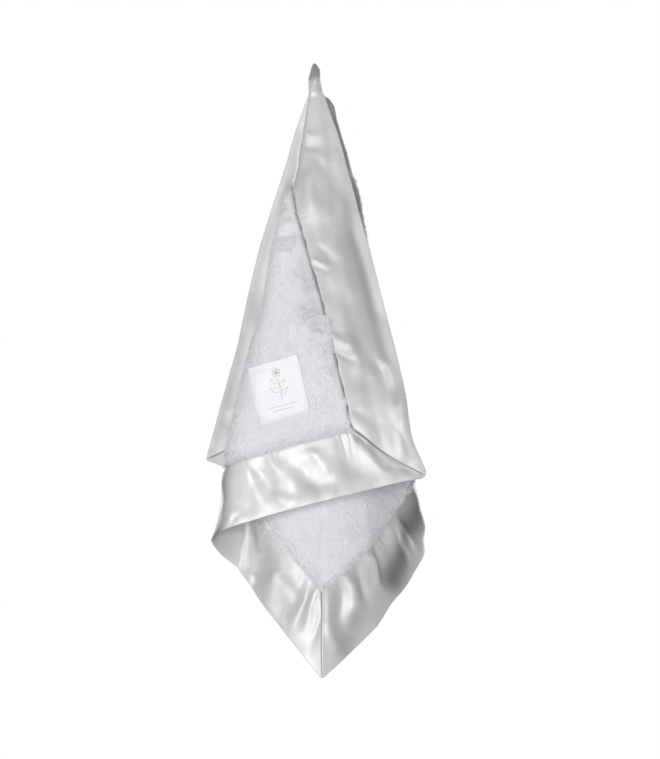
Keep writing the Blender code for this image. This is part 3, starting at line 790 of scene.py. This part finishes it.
def strand_tips(rng, along, across, face, loose, seed, length, lean):
    """Flat places of the strands' tips, which lie with the nap, spill and clump, and the spill."""
    way_a, way_w = nap(along, across, loose, seed + 40)
    distance = edge_distance(along, across) - BORDER
    spill = np.clip(1 - distance / 0.0050, 0.0, 1.0) * (2 * spill_share(along, across, face) - 0.9)
    spill = spill * (0.55 + 0.9 * smooth(mottle(along, across, 0.0050, seed + 8) + 0.5))
    way_a = way_a + 1.8 * spill * outward(along)
    way_w = way_w + 1.8 * spill * outward(across)
    size = np.maximum(np.hypot(way_a, way_w), 1e-6)
    spread = rng.normal(0, 0.28 + 0.50 * loose, len(along))
    cos, sin = np.cos(spread) / size, np.sin(spread) / size
    way_a, way_w = way_a * cos - way_w * sin, way_a * sin + way_w * cos
    long = length * (0.75 + 0.5 * rng.random(len(along)))
    long = long * (1 + 0.35 * np.maximum(loose, np.clip(spill, 0, 1)))
    tuft = np.where(loose > 0.35, 0.0050, 0.0034)
    shift_a = tuft * mottle(along, across, 0.007, seed + 3)
    shift_w = tuft * mottle(along, across, 0.007, seed + 4)
    middle_a = (np.floor((along + shift_a) / tuft) + 0.5) * tuft - shift_a
    middle_w = (np.floor((across + shift_w) / tuft) + 0.5) * tuft - shift_w
    clump = 0.30 + 0.50 * loose
    tip_a = along + way_a * long * lean + clump * (middle_a - along)
    tip_w = across + way_w * long * lean + clump * (middle_w - across)
    return tip_a, tip_w, np.clip(spill, 0, 1)


def pile_strands(name, face, material, seed, count, length, width, lean, rise):
    """Strands of the pile as slender curved blades that clump into tufts."""
    rng = np.random.default_rng(seed)
    along, across = strand_roots(rng, face, count)
    total = len(along)
    loose = ruffled(along, across)
    tip_a, tip_w, spill = strand_tips(rng, along, across, face, loose, seed, length, lean)
    base = pile_height(along, across, face)
    root_lift = np.maximum(base - 0.0012, GAP / 2 + BACKING * 0.5)
    up = rise * (0.7 + 0.6 * rng.random(total)) * (1 - 0.35 * spill) * (1 + 1.1 * loose)
    tip_lift = np.minimum(base, GAP / 2 + PLUSH + 0.001) + up
    if face > 0:
        covered = outside_label(tip_a, tip_w) < 0.0
        tip_lift = np.where(covered, LABEL_REST + 0.0012, tip_lift)
        draw = np.where(covered, 0.55, 1.0)
        tip_a, tip_w = along + draw * (tip_a - along), across + draw * (tip_w - across)
    over_satin = edge_distance(tip_a, tip_w) < BORDER
    tip_lift = np.maximum(tip_lift, over_satin * (SATIN + SLOT_HALF_HEIGHT + 0.0005))
    mid_a, mid_w = along + 0.45 * (tip_a - along), across + 0.45 * (tip_w - across)
    mid_lift = root_lift + 0.75 * (tip_lift - root_lift)
    shift = wave(along, across)
    root, normal = lifted(along, across, face * root_lift, shift)
    mid = lifted(mid_a, mid_w, face * mid_lift, shift)[0]
    tip = lifted(tip_a, tip_w, face * tip_lift, shift)[0]

    # each blade's flat side is turned towards the outside, with some roll
    out = face * normal
    way = unit(tip - root)
    wide = unit(np.cross(way, normal))
    roll = rng.normal(0, 0.4, total)[:, None]
    wide = wide * np.cos(roll) + np.cross(way, wide) * np.sin(roll)
    facing = (np.cross(wide, mid - root) * out).sum(axis=1, keepdims=True)
    wide = wide * np.where(facing < 0, -1.0, 1.0)
    half = (width / 2 * (0.7 + 0.6 * rng.random(total)))[:, None]
    points = np.stack([root - wide * half, root + wide * half, mid - wide * half * 0.8,
                       mid + wide * half * 0.8, tip], axis=1)
    k = 5 * np.arange(total)[:, None]
    # strand tones: random, with painted shade at the roots (deeper where the pile is stroked up) and in the
    # back turn, a little lighter at the tips
    bright = np.clip(0.64 + (0.09 + 0.12 * loose) * rng.normal(size=total), 0.0, 1.0)
    bright = bright - 0.8 * back_turn_shade(along, across, face)
    deep = bright - 0.24 - 0.58 * loose
    tone = np.clip(np.stack([deep, deep, bright, bright, bright + 0.15], axis=1), 0.0, 1.0)
    flat = np.repeat(np.stack([along, across, base], axis=1)[:, None], 5, axis=1)
    mesh = mesh_from(name, points, k + np.array([[0, 1, 3, 2]]), k + np.array([[2, 3, 4]]), flat, tone)
    piece = put(mesh, name, material)

    # soft strands scatter light, so each is shaded partly as the pile it lies in
    own = unit(np.cross(wide, way))
    own *= np.sign((own * out).sum(axis=1, keepdims=True))
    soft = unit(0.35 * own + 0.65 * out)
    mesh.normals_split_custom_set_from_vertices(np.repeat(soft, 5, axis=0))
    return piece


# Stitches

# Profile of a stitch, places along it and shares of its radius, and its faces
STITCH_PLACES = np.array([0.0, 0.18, 0.5, 0.82, 1.0])
STITCH_RADII = np.array([0.25, 0.8, 1.0, 0.8, 0.25])
STITCH_SIDES = 6
STITCH_CAPS = ((3, 2, 1, 0), (5, 4, 3, 0), (24, 25, 26, 27), (24, 27, 28, 29))


def stitch_faces():
    """Quads of one stitch: its sides ring by ring, then its two ends."""
    around = np.arange(STITCH_SIDES)
    after = (around + 1) % STITCH_SIDES
    ring = np.stack([around, after, after + STITCH_SIDES, around + STITCH_SIDES], axis=1)
    rings = [ring + STITCH_SIDES * row for row in range(len(STITCH_PLACES) - 1)]
    return np.concatenate([*rings, STITCH_CAPS])


def stitches(name, runs, radius, length, space, material, nodes):
    """Short stitches along runs on the cloth; each run is flat places, their lifts and a face."""
    points = []
    turn = np.linspace(0, 2 * math.pi, STITCH_SIDES, endpoint=False)[None, :, None]
    dip = ((2 * STITCH_PLACES - 1) ** 2 * radius * 0.9)[:, None]
    for along, across, lift, side in runs:
        place, normal = lifted(along, across, side * lift, wave(along, across))
        steps = np.linalg.norm(np.diff(place, axis=0), axis=1)
        travel = np.concatenate([[0], np.cumsum(steps)])
        for begin in np.arange(space, travel[-1] - length, length + space):
            spots = begin + STITCH_PLACES * length
            centre, up = (np.stack([np.interp(spots, travel, values[:, i]) for i in range(3)], axis=1)
                          for values in (place, normal * side))
            centre = centre - up * dip
            way = unit(np.gradient(centre, axis=0))
            aside = unit(np.cross(way, up))
            up = np.cross(aside, way)
            circle = aside[:, None] * np.cos(turn) + up[:, None] * np.sin(turn)
            ring = centre[:, None] + circle * (STITCH_RADII * radius)[:, None, None]
            points.append(ring.reshape(-1, 3))
    firsts = np.arange(len(points)) * len(points[0])
    quads = (firsts[:, None, None] + stitch_faces()).reshape(-1, 4)
    return put(mesh_from(name, np.concatenate(points), quads), name, material, nodes)


def straight_run(start, end, lift, side, count=160):
    """Run between two flat places at one lift."""
    share = np.linspace(0, 1, count)
    along, across = (a + (b - a) * share for a, b in zip(start, end))
    return along, across, np.full(count, lift), side


def mitre_runs(inner, tip):
    """Runs over a mitre on both faces, just inside the corner's tip."""
    inner, tip = np.array(inner), np.array(tip)
    way = unit(inner - tip)
    return [straight_run(tip + way * 0.0045, inner - way * 0.0015, 0.00050, side) for side in (1, -1)]


# Label

def label_flat(x, y):
    """Flat place of a point on the label, x from its left edge and y up from its lower edge."""
    return LABEL_LOW - y, LABEL_FROM_UPPER_EDGE + LABEL_WIDTH - x


def label_lift(x, y):
    """The label lies on the pile and its corners lift a little."""
    edge_x, edge_y = np.minimum(x, LABEL_WIDTH - x), np.minimum(y, LABEL_LENGTH - y)
    edge = np.minimum(edge_x, edge_y)
    bow = 0.0006 * mottle(x, y, 0.016, 41) * smooth((edge - 0.002) / 0.006)
    corner = 0.0008 * smooth((0.007 - np.hypot(edge_x, edge_y)) / 0.007)
    hem = 0.00016 * smooth((0.0032 - edge) / 0.0006)
    sewn = -0.00025 * bell(edge - LABEL_STITCH_INSET, 0.0005)
    return LABEL_REST + 0.0003 + bow + corner + hem + sewn


def label_cloth(name, material):
    """The label as a closed ribbon, half a millimetre thick."""
    x, y = np.meshgrid(np.linspace(0, LABEL_WIDTH, 103), np.linspace(0, LABEL_LENGTH, 119),
                       indexing="ij")
    along, across = label_flat(x, y)
    lift = label_lift(x, y)
    outer, inner = cloth(along, across, lift + 0.0003), cloth(along, across, lift - 0.0002)
    mesh = closed_shell(name, outer, inner, np.stack([x, y, lift], axis=-1).reshape(-1, 3))
    return put(mesh, name, material, ["woven_label"])


def label_run(points, count=160):
    """Run over the label through points in its own coordinates."""
    points = np.array(points, dtype=float)
    steps = np.concatenate([[0], np.cumsum(np.linalg.norm(np.diff(points, axis=0), axis=1))])
    spots = np.linspace(0, steps[-1], count)
    x, y = np.interp(spots, steps, points[:, 0]), np.interp(spots, steps, points[:, 1])
    return *label_flat(x, y), label_lift(x, y) + 0.0004, 1


def leaf(base, tip, fat):
    """Outline of a leaf from its base to its tip and back."""
    base, tip = np.array(base), np.array(tip)
    way = tip - base
    aside = np.array([-way[1], way[0]]) * fat
    share = np.linspace(0, 1, 14)[:, None]
    bulge = np.sin(math.pi * share ** 0.8)
    middle = base + way * share
    return np.concatenate([middle + aside * bulge, (middle - aside * bulge)[::-1]])


def sprig_runs():
    """A stitched sprig on the label: stem, four leaves, a flower and two plain lines."""
    mid = LABEL_WIDTH / 2
    stem = [(mid + 0.0010 * math.sin(t * 3), 0.0145 + 0.020 * t) for t in np.linspace(0, 1, 20)]
    leaves = [leaf((mid, height), (mid + reach, height + 0.0045), 0.22)
              for height, reach in ((0.0185, 0.0070), (0.0215, -0.0072),
                                    (0.0255, 0.0062), (0.0285, -0.0058))]
    centre = np.array([mid + 0.0002, 0.0375])
    turns = [math.radians(90 + 72 * k) for k in range(5)]
    petals = [leaf(centre, centre + 0.0042 * np.array([math.cos(t), math.sin(t)]), 0.32) for t in turns]
    lines = [[(mid - reach, height), (mid + reach, height)]
             for height, reach in ((0.0095, 0.0120), (0.0062, 0.0090))]
    return [label_run(points) for points in (stem, *leaves, *petals, *lines)]


# The pieces

# Base tone of each strip's satin: one cloth, painted lighter or darker strip by strip for the sheen and
# shade it shows where it hangs
SATIN_PAINTED_TONES = {"front_upper": 0.45, "front_lower": 0.54, "back_upper": 0.45, "back_lower": 0.48}
STRAND_COUNTS = {"front": 62000, "back": 59000} if FINE else {"front": 16000, "back": 16000}
# Layers of strands: seed, length, width, lean and rise
PILE_LAYERS = {"under": (100, 0.0036, 0.00050, 0.60, 0.0009), "over": (200, 0.0052, 0.00036, 0.66, 0.0017)}
SEAM_LINE = BORDER + 0.0004
SEAM_LIFT = GAP / 2 + BACKING + 0.0003
CORNERS = {"hung": ((BORDER, BORDER), (0.0, 0.0)), "front": ((FAR, BORDER), (SIDE, 0.0)),
           "low": ((FAR, FAR), (SIDE, SIDE)), "back": ((BORDER, FAR), (0.0, SIDE))}


def add_bindings():
    for seed, (which, tone) in zip((50, 60, 70, 80), SATIN_PAINTED_TONES.items()):
        material = satin_material("satin_" + which, tone)
        binding = binding_cloth("satin_" + which + "_cloth", which, material, seed)


def add_plush():
    # the low end of each plush ramp is painted shade: the seam's ditch and back turn on the backing, the
    # roots on the strands
    ground = plush_material("plush_ground", (0.24, 0.24, 0.255), (0.89, 0.89, 0.92))
    pile = plush_material("plush_pile", (0.62, 0.62, 0.655), (0.89, 0.89, 0.92))
    for face, place in ((1, "front"), (-1, "back")):
        panel = plush_cloth("plush_" + place + "_panel_cloth", face, ground)
        piles = [pile_strands("plush_" + place + "_pile_" + layer, face, pile, seed + face,
                              STRAND_COUNTS[place], *shape)
                 for layer, (seed, *shape) in PILE_LAYERS.items()]


def add_seams():
    cotton = thread_material("sewing_thread", (0.60, 0.60, 0.62))
    near, far = SEAM_LINE, SIDE - SEAM_LINE
    corners = [(near, near), (far, near), (far, far), (near, far)]
    for face, place in ((1, "front"), (-1, "back")):
        runs = [straight_run(a, b, SEAM_LIFT, face, 400)
                for a, b in zip(corners, corners[1:] + corners[:1])]
        stitches("seam_stitching_" + place + "_thread", runs, 0.00022, 0.0026, 0.0005, cotton,
                 ["seam_stitching_" + place])
    for corner, (inner, tip) in CORNERS.items():
        stitches("mitre_stitching_" + corner + "_thread", mitre_runs(inner, tip), 0.00018, 0.0020,
                 0.0006, cotton, ["mitre_stitching_" + corner + "_corner"])


def add_label():
    white = thread_material("label_thread", (0.82, 0.82, 0.84))
    tan = thread_material("motif_thread", (0.42, 0.29, 0.18))
    label = label_cloth("woven_label_cloth", label_material("label_damask"))
    left, right = LABEL_STITCH_INSET, LABEL_WIDTH - LABEL_STITCH_INSET
    low, high = LABEL_STITCH_INSET, LABEL_LENGTH - LABEL_STITCH_INSET
    corners = [(left, low), (right, low), (right, high), (left, high), (left, low)]
    runs = [label_run(pair, 120) for pair in zip(corners, corners[1:])]
    sewing = stitches("label_stitching_thread", runs, 0.00018, 0.0019, 0.0004, white,
                      ["label_stitching"])
    motif = stitches("label_motif_thread", sprig_runs(), 0.00020, 0.0011, 0.00012, tan,
                     [])


# Studio: floor, lights and camera

FLOOR_HEIGHT = -0.80
LIT_POINT = Vector((0.01, 0.0, -0.20))
LAMPS = (("key", (-0.42, -2.57, -0.18), 52.0, 1.0), ("back", (-1.3, 2.2, 0.3), 38.0, 1.4),
         ("side", (1.8, 2.15, 0.2), 36.0, 1.4))
CAMERA_PLACE = (0.01304, -2.2, -0.19795)
METRES_PER_PIXEL = 0.000815
PHOTO_WIDTH = 660
SENSOR = 36.0


def seen_directly(tree):
    """1 for what the camera sees, also in gloss and through glass, and 0 for light on things."""
    path = add_node(tree, "ShaderNodeLightPath", {})
    kinds = ("Is Camera Ray", "Is Glossy Ray", "Is Transmission Ray")
    return larger(tree, *(path.outputs[kind] for kind in kinds))


def add_floor():
    """Pale floor that keeps the shadow under the cloth and turns white further out."""
    bpy.ops.mesh.primitive_circle_add(vertices=96, radius=6.0, fill_type="NGON",
                                      location=(0, 0, FLOOR_HEIGHT))
    floor = bpy.context.object
    floor.name = "floor"
    material, tree, shader = new_material("floor_white", {
        "Base Color": (0.93, 0.93, 0.93, 1), "Roughness": 0.9, "Specular IOR Level": 0.1})
    glow = add_node(tree, "ShaderNodeEmission", {"Strength": 1.0})
    position = add_node(tree, "ShaderNodeTexCoord", {}).outputs["Object"]
    length = add_node(tree, "ShaderNodeVectorMath", {0: position}, operation="LENGTH").outputs["Value"]
    fade = map_range(tree, length, 0.35, 1.10, 0.5, 1.0, interpolation_type="SMOOTHSTEP")
    share = add_node(tree, "ShaderNodeMath", {0: seen_directly(tree), 1: fade}, operation="MULTIPLY")
    mix = add_node(tree, "ShaderNodeMixShader", {
        "Fac": share.outputs["Value"], 1: shader.outputs["BSDF"], 2: glow.outputs["Emission"]})
    feed(tree, tree.nodes["Material Output"], {"Surface": mix.outputs["Shader"]})
    floor.data.materials.append(material)


def add_world():
    """White where it is seen, and otherwise a dim light, less from overhead."""
    world = bpy.data.worlds.new("studio")
    bpy.context.scene.world = world
    world.use_nodes = True
    tree = world.node_tree
    direction = add_node(tree, "ShaderNodeTexCoord", {}).outputs["Generated"]
    height = add_node(tree, "ShaderNodeSeparateXYZ", {"Vector": direction}).outputs["Z"]
    dim = map_range(tree, height, -0.1, 0.9, 0.29, 0.08)
    strength = map_range(tree, seen_directly(tree), 0.0, 1.0, dim, 1.0)
    feed(tree, tree.nodes["Background"], {"Color": (1, 1, 1, 1), "Strength": strength})


def add_lamps():
    for name, place, power, size in LAMPS:
        light = bpy.data.lights.new(name, "AREA")
        light.shape = "SQUARE"
        light.size = size
        light.energy = power
        lamp = bpy.data.objects.new(name, light)
        lamp.location = place
        lamp.rotation_mode = "QUATERNION"
        lamp.rotation_quaternion = (LIT_POINT - Vector(place)).to_track_quat("-Z", "Y")
        bpy.context.scene.collection.objects.link(lamp)


def add_camera():
    data = bpy.data.cameras.new("camera")
    data.sensor_width = SENSOR
    data.sensor_fit = "HORIZONTAL"
    data.lens = SENSOR * -CAMERA_PLACE[1] / (PHOTO_WIDTH * METRES_PER_PIXEL)
    camera = bpy.data.objects.new("camera", data)
    camera.location = CAMERA_PLACE
    camera.rotation_euler = (math.radians(90), 0, 0)
    bpy.context.scene.collection.objects.link(camera)
    bpy.context.scene.camera = camera


add_bindings()
add_plush()
add_seams()
add_label()
bpy.context.scene.view_settings.view_transform = "Standard"
add_floor()
add_world()
add_lamps()
add_camera()
